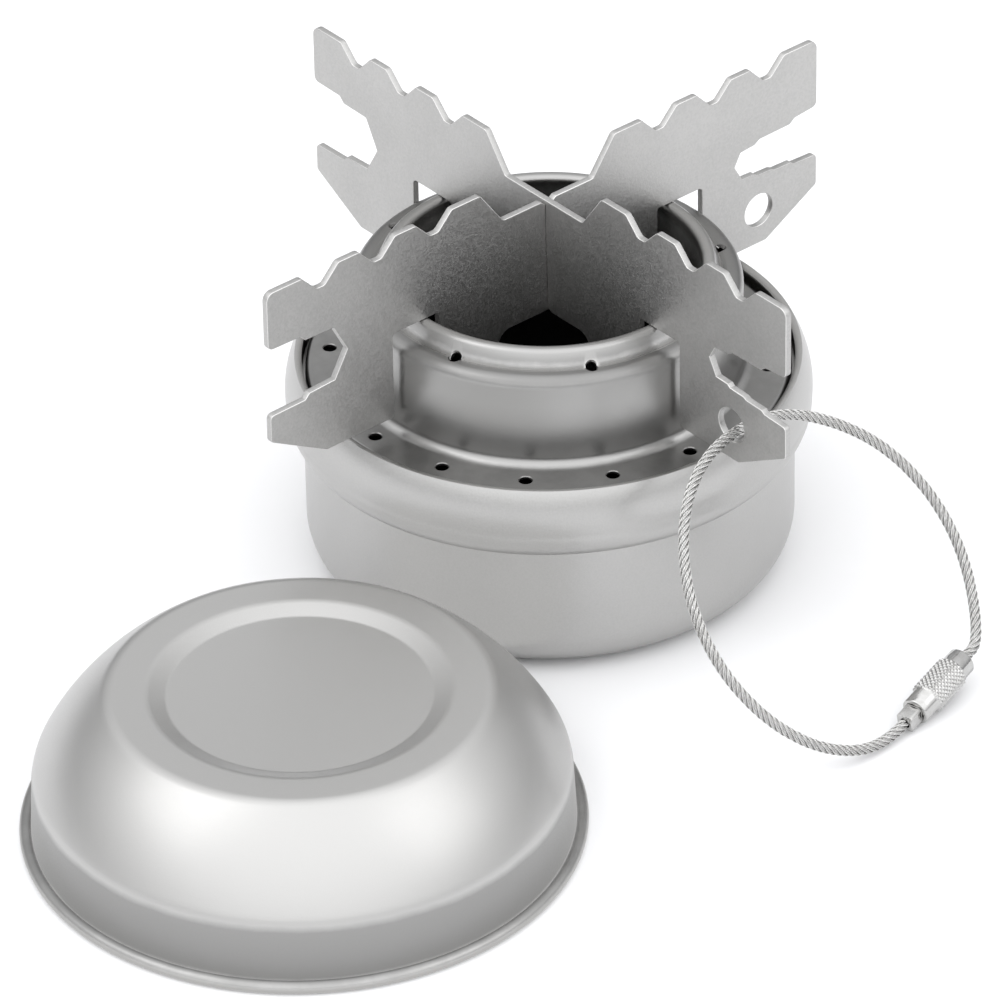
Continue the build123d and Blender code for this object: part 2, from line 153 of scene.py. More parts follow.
def titanium_painted_by_height(name, stops, rough):
    """Titanium whose tone changes with height, painting shade and highlights into its colour: (millimetres
    over the lip, tone).
    """
    mat, tree, shader, where = nodes_of(name)
    shader.inputs["Metallic"].default_value = 1.0
    split = tree.nodes.new("ShaderNodeSeparateXYZ")
    tree.links.new(where, split.inputs["Vector"])
    height = tree.nodes.new("ShaderNodeMapRange")
    height.inputs["From Min"].default_value = (LIP + stops[0][0]) * MM
    height.inputs["From Max"].default_value = (LIP + stops[-1][0]) * MM
    tree.links.new(split.outputs["Z"], height.inputs["Value"])
    cloud = noise(tree, where, 180.0, 4.0, 0.6)
    drift = tree.nodes.new("ShaderNodeMath")
    drift.operation = "MULTIPLY_ADD"
    drift.inputs[1].default_value = 0.03
    tree.links.new(cloud, drift.inputs[0])
    tree.links.new(height.outputs["Result"], drift.inputs[2])
    span = stops[-1][0] - stops[0][0]
    bands = [
        (0.015 + 0.97 * (z - stops[0][0]) / span, tuple(tone * c for c in TITANIUM))
        for z, tone in stops
    ]
    tree.links.new(ramp(tree, drift.outputs["Value"], bands), shader.inputs["Base Color"])
    fine = noise(tree, where, 4600.0, 2.0, 0.6)
    tree.links.new(spread(tree, fine, rough[0], rough[1]), shader.inputs["Roughness"])
    bump(tree, shader, fine, 0.22, FINE_BUMP)
    return mat


burner_metal = blasted_titanium(
    "burner_titanium", 0.46, (0.28, 0.36), grain=0.45, speckle=0.04, size=3600.0,
)
# Painted shade: the trough and the neck's foot are darker, and the top rounding darkens towards the top
# edge, dimming its highlight.
neck_painted_shade_metal = titanium_painted_by_height(
    "neck_titanium_painted_shade",
    [(-7.0, 0.24), (-0.9, 0.24), (-0.4, 0.38), (9.0, 0.38), (12.0, 0.36), (13.0, 0.26)], (0.29, 0.37),
)
# Painted shade and highlight: the sleeve is near black inside the well as painted shade, lighter on the
# cone under the rim as a painted highlight, and darker again at the rim's crest as painted shade.
sleeve_painted_light_metal = titanium_painted_by_height(
    "sleeve_titanium", [(-31.0, 0.03), (6.0, 0.03), (12.2, 0.68), (14.2, 0.74), (15.3, 0.40)], (0.28, 0.36)
)
# Painted shade: the lid's upright band above the bead is darker than the bead and the slope above,
# standing in for the shaded floor it reflects.
lid_painted_shade_metal = titanium_painted_by_height(
    "lid_titanium",
    [(-31.3, 0.50), (-30.2, 0.50), (-29.4, 0.27), (-22.2, 0.31), (-21.2, 0.50), (-8.8, 0.50)],
    (0.32, 0.40),
)
plate_metal = blasted_titanium("plate_titanium", 0.475, (0.40, 0.52), grain=0.7, speckle=0.10, size=3000.0)
# Painted highlight: a much lighter tone for the plates' bevelled edges, so they read as bright lines.
edge_highlight_metal = blasted_titanium("plate_edge_painted_highlight", 0.74, (0.26, 0.34))


def bright_steel(name, tone, rough, grain_scale):
    """Polished steel with faint variation in tone and shine."""
    mat, tree, shader, where = nodes_of(name)
    shader.inputs["Metallic"].default_value = 1.0
    cloud = noise(tree, where, 900.0, 2.0, 0.5)
    low = tuple(tone * c for c in WARM)
    high = tuple(tone * c for c in WARMER)
    tree.links.new(ramp(tree, cloud, [(0.3, low), (0.7, high)]), shader.inputs["Base Color"])
    fine = noise(tree, where, grain_scale, 2.0, 0.5)
    tree.links.new(spread(tree, fine, rough[0], rough[1]), shader.inputs["Roughness"])
    bump(tree, shader, fine, 0.15, 0.00002)
    return mat


wire_metal = bright_steel("wire_rope", 0.58, (0.14, 0.22), 6000.0)
clasp_metal = bright_steel("clasp_steel", 0.52, (0.10, 0.20), 4000.0)


# ------------------------------------------------------------- mesh generators
def rounded(corners, step=9.0):
    """A closed outline from (x, y, radius) corners, each rounded by an arc."""
    out = []
    count = len(corners)
    for i, (x, y, radius) in enumerate(corners):
        here = Vector((x, y))
        if radius <= 0:
            out.append(here)
            continue
        before = (Vector(corners[i - 1][:2]) - here).normalized()
        after = (Vector(corners[(i + 1) % count][:2]) - here).normalized()
        inside = before.angle(after)
        reach = radius / math.tan(inside / 2)
        centre = here + (before + after).normalized() * radius / math.sin(inside / 2)
        first = here + before * reach
        last = here + after * reach
        sweep = math.pi - inside
        parts = max(2, int(math.degrees(sweep) / step) + 1)
        a0 = first - centre
        cross = (first - centre).cross(last - centre)
        sign = 1.0 if cross > 0 else -1.0
        for k in range(parts + 1):
            out.append(centre + Matrix.Rotation(sign * sweep * k / parts, 2) @ a0)
    return out


def arc3(first, middle, last, parts=16):
    """Points of the arc from first to last through middle, first left out."""
    a, b, c = Vector(first), Vector(middle), Vector(last)
    d = 2 * (a.x * (b.y - c.y) + b.x * (c.y - a.y) + c.x * (a.y - b.y))
    aa, bb, cc = a.length_squared, b.length_squared, c.length_squared
    ux = (aa * (b.y - c.y) + bb * (c.y - a.y) + cc * (a.y - b.y)) / d
    uy = (aa * (c.x - b.x) + bb * (a.x - c.x) + cc * (b.x - a.x)) / d
    centre = Vector((ux, uy))
    start = math.atan2(a.y - uy, a.x - ux)
    mid = math.atan2(b.y - uy, b.x - ux)
    end = math.atan2(c.y - uy, c.x - ux)
    full = (end - start) % (2 * math.pi)
    if (mid - start) % (2 * math.pi) > full:
        full -= 2 * math.pi
    size = (a - centre).length
    return [
        centre + Vector((math.cos(start + full * k / parts), math.sin(start + full * k / parts))) * size
        for k in range(1, parts + 1)
    ]


def finish_mesh(name, mesh, metal, body, stands_for, sharp=40.0):
    mesh.shade_smooth()
    mesh.set_sharp_from_angle(angle=math.radians(sharp))
    mesh.materials.clear()
    mesh.materials.append(metal)
    obj = bpy.data.objects.new(name, mesh)
    bpy.context.scene.collection.objects.link(obj)
    if body:
        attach(obj, body)
    if stands_for:
        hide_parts(*stands_for)
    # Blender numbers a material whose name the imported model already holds.
    return obj


def lathe(name, outline, at=(0.0, 0.0), segments=220):
    """A closed outline of (radius, height) turned about a vertical axis."""
    verts, faces = [], []
    rows = len(outline)
    for k in range(segments):
        turn = 2 * math.pi * k / segments
        c, s = math.cos(turn), math.sin(turn)
        for p in outline:
            verts.append(((at[0] + p[0] * c) * MM, (at[1] + p[0] * s) * MM, p[1] * MM))
    for k in range(segments):
        a, b = k * rows, ((k + 1) % segments) * rows
        for i in range(rows):
            j = (i + 1) % rows
            faces.append((a + i, a + j, b + j, b + i))
    mesh = bpy.data.meshes.new(name)
    mesh.from_pydata(verts, [], faces)
    work = bmesh.new()
    work.from_mesh(mesh)
    bmesh.ops.remove_doubles(work, verts=work.verts, dist=1e-7)
    bmesh.ops.dissolve_degenerate(work, dist=1e-8, edges=work.edges)
    bmesh.ops.recalc_face_normals(work, faces=work.faces)
    work.to_mesh(mesh)
    work.free()
    return mesh


def drilled(mesh, drills, sink=0.12):
    """The mesh with holes cut through it and their outer edges broken.

    A drill is (centre on the outer face, outward direction, diameter, depth).
    """
    holder = bpy.data.objects.new("drill_blank", mesh)
    bpy.context.scene.collection.objects.link(holder)
    cutter_mesh = bpy.data.meshes.new("drills")
    work = bmesh.new()
    sides = 40
    for centre, direction, diameter, depth in drills:
        turn = Vector((0, 0, 1)).rotation_difference(direction).to_matrix()
        r = diameter / 2
        wide = r + sink * MM
        rings = []
        for radius, height in ((r, -depth), (r, -sink * MM), (wide, 0.01 * MM), (wide, depth)):
            rings.append([
                work.verts.new(centre + turn @ Vector((
                    radius * math.cos(2 * math.pi * k / sides),
                    radius * math.sin(2 * math.pi * k / sides), height,
                )))
                for k in range(sides)
            ])
        for low, high in zip(rings, rings[1:]):
            for k in range(sides):
                j = (k + 1) % sides
                work.faces.new((low[k], low[j], high[j], high[k]))
        work.faces.new(list(reversed(rings[0])))
        work.faces.new(rings[-1])
    work.to_mesh(cutter_mesh)
    work.free()
    cutter = bpy.data.objects.new("drills", cutter_mesh)
    bpy.context.scene.collection.objects.link(cutter)
    cut = holder.modifiers.new("cut", "BOOLEAN")
    cut.operation = "DIFFERENCE"
    cut.solver = "EXACT"
    cut.object = cutter
    bpy.context.view_layer.update()
    result = bpy.data.meshes.new_from_object(holder.evaluated_get(bpy.context.evaluated_depsgraph_get()))
    bpy.data.objects.remove(holder)
    bpy.data.objects.remove(cutter)
    return result


# ------------------------------------------------------------------ the burner
cup = rounded([
    (0, 0, 0), (34.5, 0, 6.4), (34.5, LIP - 2.5, 0), (34.05, LIP - 2.5, 0),
    (34.05, 0.45, 5.95), (0, 0.45, 0),
], step=5.0)
finish_mesh("cup_shell", lathe("cup_shell", cup), burner_metal, "burner", ["base_cup"])

crest, lip, wide, seam = (35.5, LIP + 0.35), (34.5, LIP), (36.9, LIP - 6.5), (35.75, LIP - 9.97)
ring = [Vector(lip)]
ring += arc3(lip, (34.92, LIP + 0.27), crest, 8)
ring += arc3(crest, (36.48, LIP - 1.9), wide, 20)
ring += arc3(wide, (36.6, LIP - 8.6), seam, 12)
ring += [Vector((34.53, seam[1])), Vector((34.53, seam[1] + 0.45)), Vector((35.2, seam[1] + 0.45))]
ring += arc3((35.2, seam[1] + 0.45), (36.23, LIP - 8.4), (36.45, LIP - 6.5), 8)
ring += arc3((36.45, LIP - 6.5), (36.03, LIP - 2.2), (35.5, LIP - 0.1), 8)
ring += arc3((35.5, LIP - 0.1), (35.02, LIP - 0.17), (34.62, LIP - 0.42), 5)
finish_mesh("shoulder_shell", lathe("shoulder_shell", ring), burner_metal, "burner", ["shoulder_ring"])

trough, neck_top = LIP - 1.0, LIP + 13.0
neck = rounded([
    (34.02, LIP - 7.0, 0), (34.02, trough, 0.7), (27.3, trough, 1.5), (27.3, neck_top, 1.6),
    (25.0, neck_top, 0.3), (24.4, neck_top - 0.25, 0), (24.4, neck_top - 0.7, 0),
    (25.0, neck_top - 0.45, 0), (26.85, neck_top - 0.45, 1.15), (26.85, trough - 0.45, 1.95),
    (33.57, trough - 0.45, 0.25), (33.57, LIP - 7.0, 0),
], step=7.0)
lower_jets = []
for k in range(LOWER_JET_COUNT):
    turn = math.radians(LOWER_JET_START + 360 / LOWER_JET_COUNT * k)
    lower_jets.append((
        Vector((LOWER_JET_R * math.cos(turn), LOWER_JET_R * math.sin(turn), trough)) * MM,
        Vector((0, 0, 1)), LOWER_JET_D * MM, DRILL_DEPTH * MM,
    ))
upper_jets = []
lean = math.radians(UPPER_JET_LEAN)
for k in range(UPPER_JET_COUNT):
    turn = math.radians(UPPER_JET_START + 360 / UPPER_JET_COUNT * k)
    radial = Vector((math.cos(turn), math.sin(turn), 0))
    out = radial * math.sin(lean) + Vector((0, 0, math.cos(lean)))
    centre = (radial * UPPER_JET_R + Vector((0, 0, neck_top - 0.1))) * MM
    upper_jets.append((centre, out, UPPER_JET_D * MM, DRILL_DEPTH * MM))
neck_mesh = drilled(lathe("neck_shell", neck), lower_jets + upper_jets)
finish_mesh("neck_shell", neck_mesh, neck_painted_shade_metal, "burner", ["burner_neck"])

rim, seat = LIP + 15.3, LIP + 12.75
sleeve = rounded([
    (21.5, 0.45, 0), (21.5, rim, 0.85), (23.2, rim, 0.85), (24.4, seat, 0), (24.35, seat - 0.45, 0),
    (23.85, seat - 0.45, 0), (22.85, rim - 0.85, 0.2), (21.95, rim - 0.85, 0.3), (21.95, 0.45, 0),
], step=7.0)
ports = []
for k in range(FUEL_PORT_COUNT):
    turn = math.radians(FUEL_PORT_START + 360 / FUEL_PORT_COUNT * k)
    radial = Vector((math.cos(turn), math.sin(turn), 0))
    centre = (radial * 21.95 + Vector((0, 0, FUEL_PORT_Z))) * MM
    ports.append((centre, radial, FUEL_PORT_D * MM, DRILL_DEPTH * MM))
sleeve_mesh = drilled(lathe("sleeve_shell", sleeve), ports + upper_jets)
finish_mesh("sleeve_shell", sleeve_mesh, sleeve_painted_light_metal, "burner", ["inner_sleeve"])


# --------------------------------------------------------------- the pot stand
TEETH = [
    (8.2, 25.3, 0.8), (12.2, 30.9, 0.8), (17.3, 30.9, 0.8), (19.8, 28.3, 0.9), (21.2, 28.3, 0.9),
    (23.7, 30.9, 0.8), (27.4, 30.9, 0.8), (29.9, 28.3, 0.9), (31.3, 28.3, 0.9), (33.8, 30.9, 0.8),
    (37.4, 30.9, 0.8), (39.9, 28.3, 0.9), (41.3, 28.3, 0.9), (43.8, 30.9, 0.8), (50.0, 30.9, 1.3),
]
PLAIN_FORK = [
    (50.0, 21.9, 0.9), (44.4, 21.8, 0.2), (43.5, 20.9, 0.2), (38.6, 20.8, 0.4), (36.3, 16.4, 0),
    (38.6, 12.4, 0), (43.1, 12.2, 0), (43.9, 11.4, 0), (50.0, 11.3, 0.7),
]
PIERCED_FORK = [
    (50.0, 20.1, 0.9), (45.8, 19.7, 0.2), (44.9, 19.0, 0.2), (39.2, 18.9, 0.2), (38.2, 18.3, 0.2),
    (35.6, 18.1, 0.3), (34.5, 16.1, 0), (35.9, 13.6, 0), (38.2, 13.5, 0), (38.7, 13.1, 0),
    (41.4, 13.0, 0), (42.0, 12.7, 0), (45.1, 12.6, 0), (45.7, 12.2, 0), (50.0, 12.0, 0.7),
]
WING_BASE = [
    (50.0, 7.1, 0.6), (40.4, 1.7, 0.8), (28.3, 1.7, 0.5), (28.3, 15.35, 0.7), (20.0, 15.35, 0.4),
    (20.0, 1.7, 0.5), (9.4, 1.7, 0.5), (9.4, 7.3, 2.2),
]


def plate(name, left_fork, right_fork, slot_at_top, hole_x, across, stands_for):
    """A stand plate with bevelled edges and one hole, in the XZ plane or across it in YZ."""
    right = TEETH + right_fork + WING_BASE
    left = [(-x, z, r) for x, z, r in reversed(TEETH + left_fork + WING_BASE)]
    if slot_at_top:
        lead = [
            (-1.4, 25.3, 0), (-0.55, 24.7, 0), (-0.55, 16.4, 0),
            (0.55, 16.4, 0), (0.55, 24.7, 0), (1.4, 25.3, 0),
        ]
        corners = lead + right + left
    else:
        lead = [
            (1.35, 7.3, 0), (0.55, 7.8, 0), (0.55, 16.45, 0),
            (-0.55, 16.45, 0), (-0.55, 7.8, 0), (-1.35, 7.3, 0),
        ]
        corners = right + lead + left
    edge = 0.13
    curve = bpy.data.curves.new(name, "CURVE")
    curve.dimensions = "2D"
    curve.fill_mode = "BOTH"
    curve.extrude = (0.5 - edge) * MM
    curve.bevel_depth = edge * MM
    curve.bevel_resolution = 2
    curve.offset = -edge * MM
    rings = [rounded(corners, step=12.0)]
    rings.append([
        Vector((
            hole_x + HOLE_R * math.cos(2 * math.pi * k / 48),
            HOLE_Z + HOLE_R * math.sin(2 * math.pi * k / 48),
        ))
        for k in range(48)
    ])
    for ring_points in rings:
        spline = curve.splines.new("POLY")
        spline.points.add(len(ring_points) - 1)
        for point, p in zip(spline.points, ring_points):
            point.co = (p[0] * MM, (LIP + p[1]) * MM, 0.0, 1.0)
        spline.use_cyclic_u = True
    holder = bpy.data.objects.new(name + "_curve", curve)
    bpy.context.scene.collection.objects.link(holder)
    bpy.context.view_layer.update()
    mesh = bpy.data.meshes.new_from_object(holder.evaluated_get(bpy.context.evaluated_depsgraph_get()))
    bpy.data.objects.remove(holder)
    if across:
        turn = Matrix(((0, 0, 1, 0), (1, 0, 0, 0), (0, 1, 0, 0), (0, 0, 0, 1)))
    else:
        turn = Matrix(((1, 0, 0, 0), (0, 0, -1, 0), (0, 1, 0, 0), (0, 0, 0, 1)))
    mesh.transform(turn)
    mesh.name = name
    body = "upper_plate" if across else "lower_plate"
    obj = finish_mesh(name, mesh, plate_metal, body, [stands_for], sharp=30.0)
    # The bevel faces take the lighter edge material: a painted highlight along the plates' edges.
    mesh.materials.append(edge_highlight_metal)
    thin = 0 if across else 1
    for face in mesh.polygons:
        face.material_index = 1 if 0.3 < abs(face.normal[thin]) < 0.9 else 0
    return obj


plate("lower_stand", PLAIN_FORK, PIERCED_FORK, True, 39.0, False, "stand_plate_lower")
plate("upper_stand", PIERCED_FORK, PLAIN_FORK, False, -39.0, True, "stand_plate_upper")


# --------------------------------------------------------------------- the lid
lid = arc3((36.4, 1.2), (36.75, 0.35), (37.6, 0.0), 8)
lid += arc3((37.6, 0.0), (38.24, 0.26), (38.5, 0.9), 8)
lid += arc3((38.5, 0.9), (37.8, 1.78), (36.9, 1.44), 10)
lid += [Vector((36.56, 8.4))]
lid += arc3((36.56, 8.4), (36.39, 9.57), (36.0, 10.7), 8)
lid += arc3((36.0, 10.7), (32.1, 16.67), (26.55, 22.08), 24)
lid += arc3((26.55, 22.08), (25.78, 22.41), (24.9, 22.5), 8)
lid += [Vector((0, 21.55)), Vector((0, 21.05)), Vector((24.9, 22.0))]
lid += arc3((24.9, 22.0), (25.6, 21.92), (26.15, 21.68), 5)
lid += arc3((26.15, 21.68), (31.74, 16.31), (36.0, 9.6), 16)
lid.append(Vector((36.4, 1.2)))
lid = [(p.x, p.y, 0) for p in lid]
top_in = next(i for i, p in enumerate(lid) if p[0] == 0)
lid[top_in + 1:top_in + 1] = [(0, 21.05, 0), (18.1, 21.05, 1.5), (20.7, 22.0, 3.0)]
lid[top_in:top_in] = [(20.6, 22.5, 3.0), (18.0, 21.55, 1.4)]
del lid[top_in + 6]
lid_obj = finish_mesh(
    "lid_shell", lathe("lid_shell", rounded(lid, step=3.0), LID_AT), lid_painted_shade_metal, "lid", ["lid"],
)
# The lid is left out of reflections, so the burner reflects the glowing card under it: part of that
# painted reflection.
lid_obj.visible_glossy = False


# ----------------------------------------------------------------- the lanyard
TURN, LEAN = math.radians(5.0), math.radians(38.9)
level = Vector((math.cos(TURN), math.sin(TURN), 0))
down = Vector((math.sin(TURN) * math.sin(LEAN), -math.cos(TURN) * math.sin(LEAN), -math.cos(LEAN)))
hole = Vector((0, -39.0, LIP + HOLE_Z))
CLASP_FOOT, CLASP_DIR = (2.4, 47.4), (0.975, -0.2222)


def in_loop(u, v):
    return (hole + level * u + down * v) * MM


def along(s):
    return in_loop(CLASP_FOOT[0] + CLASP_DIR[0] * s, CLASP_FOOT[1] + CLASP_DIR[1] * s)


route = [in_loop(*CLASP_FOOT)]
route += [in_loop(*p) for p in (
    (-3.0, 48.63), (-11.0, 45.4), (-17.0, 39.2), (-20.6, 31.2), (-21.5, 23.0), (-19.6, 14.6),
    (-14.6, 6.8), (-7.5, 2.0), (0.5, 0.8), (8.5, 2.0), (15.8, 6.8), (21.6, 13.4), (24.8, 21.4),
    (25.4, 29.4), (23.6, 36.8),
)]
route += [along(18.2), along(15.2), along(10.6)]

line_curve = bpy.data.curves.new("rope_line", "CURVE")
line_curve.dimensions = "3D"
line_curve.resolution_u = 24
line = line_curve.splines.new("NURBS")
line.points.add(len(route) - 1)
for point, p in zip(line.points, route):
    point.co = (p.x, p.y, p.z, 1.0)
line.order_u = 3
line.use_endpoint_u = True
line_obj = bpy.data.objects.new("rope_line", line_curve)
bpy.context.scene.collection.objects.link(line_obj)
bpy.context.view_layer.update()
line_mesh = bpy.data.meshes.new_from_object(line_obj.evaluated_get(bpy.context.evaluated_depsgraph_get()))
centre_line = [v.co.copy() for v in line_mesh.vertices]
bpy.data.objects.remove(line_obj)


def evenly(points, spacing):
    """The same line, with points a given distance apart."""
    lengths = [0.0]
    for a, b in zip(points, points[1:]):
        lengths.append(lengths[-1] + (b - a).length)
    count = max(2, int(lengths[-1] / spacing))
    out, i = [], 0
    for k in range(count + 1):
        want = lengths[-1] * k / count
        while i < len(points) - 2 and lengths[i + 1] < want:
            i += 1
        part = (want - lengths[i]) / max(lengths[i + 1] - lengths[i], 1e-12)
        out.append(points[i].lerp(points[i + 1], part))
    return out, lengths[-1]


def frames(points):
    """Directions along the line, with side vectors that don't twist."""
    heads = []
    for k in range(len(points)):
        a, b = points[max(k - 1, 0)], points[min(k + 1, len(points) - 1)]
        heads.append((b - a).normalized())
    side = heads[0].orthogonal().normalized()
    sides = []
    for head in heads:
        side = (side - head * side.dot(head)).normalized()
        sides.append(side.copy())
    return heads, sides


def rope(points, diameter, strands=6, wires=6, lay=6.4, wire_lay=3.6, sides_n=6):
    """Strands laid round the line, each one wires laid round its own middle."""
    heads, sides = frames(points)
    run = [0.0]
    for a, b in zip(points, points[1:]):
        run.append(run[-1] + (b - a).length)
    strand_d = diameter / 3.25
    strand_r = diameter / 2 - strand_d / 2
    wire_d = strand_d / 2.85
    wire_r = strand_d / 2 - wire_d / 2
    verts, faces = [], []
    for s in range(strands):
        for w in range(wires + 1):
            base = len(verts)
            for k, p in enumerate(points):
                head, side = heads[k], sides[k]
                up = head.cross(side)
                turn = 2 * math.pi * (s / strands + run[k] / (lay * MM))
                radial = side * math.cos(turn) + up * math.sin(turn)
                around = head.cross(radial)
                middle = p + radial * strand_r
                slope = 2 * math.pi * strand_r / (lay * MM)
                way = (head + around * slope).normalized()
                across = way.cross(radial).normalized()
                if w < wires:
                    small = 2 * math.pi * (w / wires - run[k] / (wire_lay * MM))
                    centre = middle + (radial * math.cos(small) + across * math.sin(small)) * wire_r
                else:
                    centre = middle
                for q in range(sides_n):
                    a = 2 * math.pi * q / sides_n
                    verts.append(centre + (radial * math.cos(a) + across * math.sin(a)) * wire_d / 2)
            last = len(points) - 1
            for k in range(last):
                for q in range(sides_n):
                    r = (q + 1) % sides_n
                    a, b = base + k * sides_n, base + (k + 1) * sides_n
                    faces.append((a + q, a + r, b + r, b + q))
            faces.append(tuple(base + q for q in reversed(range(sides_n))))
            faces.append(tuple(base + last * sides_n + q for q in range(sides_n)))
    mesh = bpy.data.meshes.new("wire_rope")
    mesh.from_pydata(verts, [], faces)
    return mesh


rope_line, rope_length = evenly(centre_line, 0.26 * MM)
rope_obj = finish_mesh(
    "wire_rope", rope(rope_line, ROPE_D * MM), wire_metal, "lanyard", ["lanyard_cable"], sharp=60.0,
)


# The clasp's pieces are turned about its axis, from the threaded ferrule's face.
clasp_axis = (level * CLASP_DIR[0] + down * CLASP_DIR[1]).normalized()
clasp_in = (level * CLASP_DIR[1] - down * CLASP_DIR[0]).normalized()
clasp_side = clasp_axis.cross(clasp_in)


def on_clasp(s, x, y):
    return along(s) + (clasp_in * x + clasp_side * y) * MM


def turned(name, outline, segments, shape=None):
    """A closed outline of (distance along, radius) turned about the clasp's axis."""
    verts, faces = [], []
    rows = len(outline)
    for k in range(segments):
        a = 2 * math.pi * k / segments
        for i, (s, r) in enumerate(outline):
            rr = shape(s, r, a) if shape else r
            verts.append(on_clasp(s, rr * math.cos(a), rr * math.sin(a)))
    for k in range(segments):
        a, b = k * rows, ((k + 1) % segments) * rows
        for i in range(rows):
            j = (i + 1) % rows
            faces.append((a + i, a + j, b + j, b + i))
    mesh = bpy.data.meshes.new(name)
    mesh.from_pydata(verts, [], faces)
    work = bmesh.new()
    work.from_mesh(mesh)
    bmesh.ops.remove_doubles(work, verts=work.verts, dist=1e-8)
    bmesh.ops.recalc_face_normals(work, faces=work.faces)
    work.to_mesh(mesh)
    work.free()
    return mesh


def knurl(s, r, a):
    """Raised diamonds on the clasp sleeve's middle."""
    if not 5.5 < s < 11.7 or r < 2.2:
        return r
    count, pitch = 20, 0.77
    one = (a / (2 * math.pi) * count + s / pitch) % 1.0
    two = (a / (2 * math.pi) * count - s / pitch) % 1.0
    depth = max(abs(one - 0.5), abs(two - 0.5)) * 2
    return r - 0.20 * max(0.0, depth - 0.35) / 0.65


sleeve_line = [(2.5, 1.62), (2.6, 1.95), (2.75, 2.05), (5.25, 2.05), (5.4, 2.12), (5.55, 2.38)]
sleeve_line += [(5.6 + 6.0 * k / 84, 2.45) for k in range(85)]
sleeve_line += [(11.65, 2.38), (11.8, 2.12), (11.95, 2.05), (14.1, 2.05), (14.25, 1.95), (14.3, 1.8)]
sleeve_line += [(14.3, 1.0), (13.1, 1.0), (13.1, 1.53), (2.5, 1.53)]
clasp_mesh = turned("clasp_turned", sleeve_line, 160, knurl)
slot_blank = bpy.data.objects.new("slot_blank", clasp_mesh)
bpy.context.scene.collection.objects.link(slot_blank)
slot_mesh = bpy.data.meshes.new("slot_cutter")
corners = []
for s in (12.7, 14.9):
    for x, y in ((0, -0.85), (3.0, -0.85), (3.0, 0.85), (0, 0.85)):
        corners.append(on_clasp(s, x, y))
slot_mesh.from_pydata(corners, [], [
    (0, 1, 2, 3), (4, 7, 6, 5), (0, 4, 5, 1), (1, 5, 6, 2), (2, 6, 7, 3), (3, 7, 4, 0),
])
slot_cutter = bpy.data.objects.new("slot_cutter", slot_mesh)
bpy.context.scene.collection.objects.link(slot_cutter)
slot = slot_blank.modifiers.new("slot", "BOOLEAN")
slot.operation = "DIFFERENCE"
slot.solver = "EXACT"
slot.object = slot_cutter
bpy.context.view_layer.update()
slotted = bpy.data.meshes.new_from_object(slot_blank.evaluated_get(bpy.context.evaluated_depsgraph_get()))
bpy.data.objects.remove(slot_blank)
bpy.data.objects.remove(slot_cutter)
clasp_obj = finish_mesh("knurled_sleeve", slotted, clasp_metal, "clasp", ["clasp_sleeve"], sharp=35.0)


def square(s, r, a):
    """The crimped flats of the threaded ferrule, turned level with the floor."""
    if s > 2.41 or r < 1.2:
        return r
    flat = (a - math.radians(38.9)) % (math.pi / 2)
    flat = min(flat, math.pi / 2 - flat)
    return min(1.25 / math.cos(flat), 1.58) * r / 1.25


thread_line = [(0.0, 0.82), (0.0, 1.12), (0.12, 1.25), (2.28, 1.25), (2.4, 1.22), (2.4, 1.3)]
THREAD_RUN, THREAD_PITCH, THREAD_DEPTH = 1.8, 0.7, 0.13
for k in range(26):
    wave = 0.5 + 0.5 * math.cos(2 * math.pi * k * THREAD_RUN / 25 / THREAD_PITCH)
    thread_line.append((2.5 + THREAD_RUN * k / 25, 1.42 - THREAD_DEPTH * wave))
thread_line += [(4.4, 1.2), (4.4, 0.82)]
ferrule_obj = finish_mesh(
    "crimped_ferrule", turned("crimped_ferrule", thread_line, 96, square), clasp_metal, "lanyard",
    ["threaded_ferrule"], sharp=30.0,
)
stop_line = [(11.2, 0.85), (11.2, 1.35), (11.3, 1.45), (12.9, 1.45), (13.0, 1.35), (13.0, 0.85)]
stop_obj = finish_mesh(
    "stop_collar", turned("stop_collar", stop_line, 64), clasp_metal, "loop_end",
    ["stop_ferrule"], sharp=30.0,
)


# ------------------------------------------------------------ floor and lights
floor_mesh = bpy.data.meshes.new("floor")
floor_mesh.from_pydata([(-4, -4, 0), (4, -4, 0), (4, 4, 0), (-4, 4, 0)], [], [(0, 1, 2, 3)])
floor = bpy.data.objects.new("floor", floor_mesh)
bpy.context.scene.collection.objects.link(floor)
floor_mat, tree, shader, where = nodes_of("floor_white")
shader.inputs["Base Color"].default_value = (0.87, 0.87, 0.876, 1)
shader.inputs["Roughness"].default_value = 0.85
shader.inputs["Specular IOR Level"].default_value = 0.1
floor_mesh.materials.append(floor_mat)

# A glowing card seen only in reflections: a painted reflection of bright floor in the burner, in place of
# the dark floor under the lid.
card_mesh = bpy.data.meshes.new("bounce_card")
CARD_R, CARD_Z, CARD_SIDES = 42, 0.00004, 64
around_card = [2 * math.pi * k / CARD_SIDES for k in range(CARD_SIDES)]
card_mesh.from_pydata([
    ((LID_AT[0] + CARD_R * math.cos(a)) * MM, (LID_AT[1] + CARD_R * math.sin(a)) * MM, CARD_Z)
    for a in around_card
], [], [tuple(range(CARD_SIDES))])
card = bpy.data.objects.new("bounce_card", card_mesh)
bpy.context.scene.collection.objects.link(card)
card_mat, tree, shader, where = nodes_of("card_glow_for_reflections")
shader.inputs["Base Color"].default_value = (0, 0, 0, 1)
shader.inputs["Emission Color"].default_value = (1, 1, 1, 1)
shader.inputs["Emission Strength"].default_value = 0.85
card_mesh.materials.append(card_mat)
card.visible_camera = False
card.visible_diffuse = False
card.visible_shadow = False

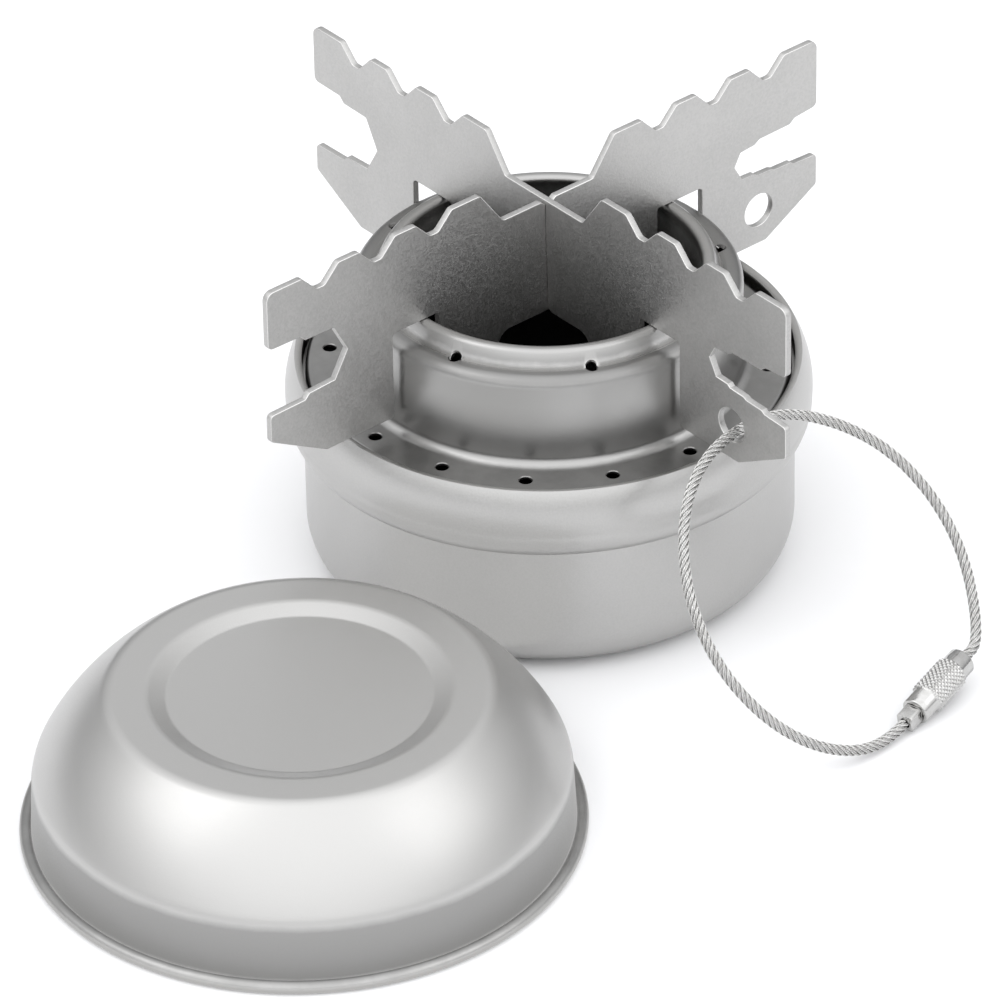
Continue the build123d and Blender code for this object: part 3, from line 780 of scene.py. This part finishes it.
# The studio is a light tent: brightest over the camera, dimmer behind the stove
# and along the horizon.
world = bpy.data.worlds.new("studio")
world.use_nodes = True
tree = world.node_tree
tent = tree.nodes.new("ShaderNodeTexCoord")
toward = tree.nodes.new("ShaderNodeVectorMath")
toward.operation = "DOT_PRODUCT"
HIGH = math.radians(62)
toward.inputs[1].default_value = (
    -math.sin(AZIMUTH) * math.cos(HIGH), -math.cos(AZIMUTH) * math.cos(HIGH), math.sin(HIGH)
)
tree.links.new(tent.outputs["Generated"], toward.inputs[0])
glow = tree.nodes.new("ShaderNodeMapRange")
glow.inputs["From Min"].default_value = -1.0
tree.links.new(toward.outputs["Value"], glow.inputs["Value"])
levels = [
    (0.0, 0.22), (0.30, 0.24), (0.42, 0.28), (0.585, 0.48), (0.75, 0.66), (0.85, 0.82), (1.0, 0.90),
]
sky = ramp(tree, glow.outputs["Result"], [(at, (0.985 * v, 0.99 * v, v)) for at, v in levels])
height = tree.nodes.new("ShaderNodeSeparateXYZ")
tree.links.new(tent.outputs["Generated"], height.inputs["Vector"])
horizon = tree.nodes.new("ShaderNodeMapRange")
horizon.inputs["From Max"].default_value = 0.28
horizon.inputs["To Min"].default_value = 1.1
horizon.inputs["To Max"].default_value = 2.0
tree.links.new(height.outputs["Z"], horizon.inputs["Value"])
tree.links.new(sky, tree.nodes["Background"].inputs["Color"])
tree.links.new(horizon.outputs["Result"], tree.nodes["Background"].inputs["Strength"])
bpy.context.scene.world = world


def softbox(name, azimuth, elevation, distance, size, power):
    """A rectangular area light aimed at the burner's foot, azimuth from the camera's side."""
    data = bpy.data.lights.new(name, "AREA")
    data.shape = "RECTANGLE"
    data.size, data.size_y = size
    data.energy = power
    obj = bpy.data.objects.new(name, data)
    bpy.context.scene.collection.objects.link(obj)
    a = math.atan2(-math.cos(AZIMUTH), -math.sin(AZIMUTH)) + math.radians(azimuth)
    e = math.radians(elevation)
    place = Vector((math.cos(a) * math.cos(e), math.sin(a) * math.cos(e), math.sin(e))) * distance
    obj.location = place
    obj.rotation_euler = (-place).to_track_quat("-Z", "Y").to_euler()


softbox("left_box", -75, 50, 1.6, (1.0, 1.0), 2.4)
softbox("right_box", 70, 40, 1.6, (0.9, 0.9), 1.6)

bpy.context.scene.view_settings.view_transform = "Standard"
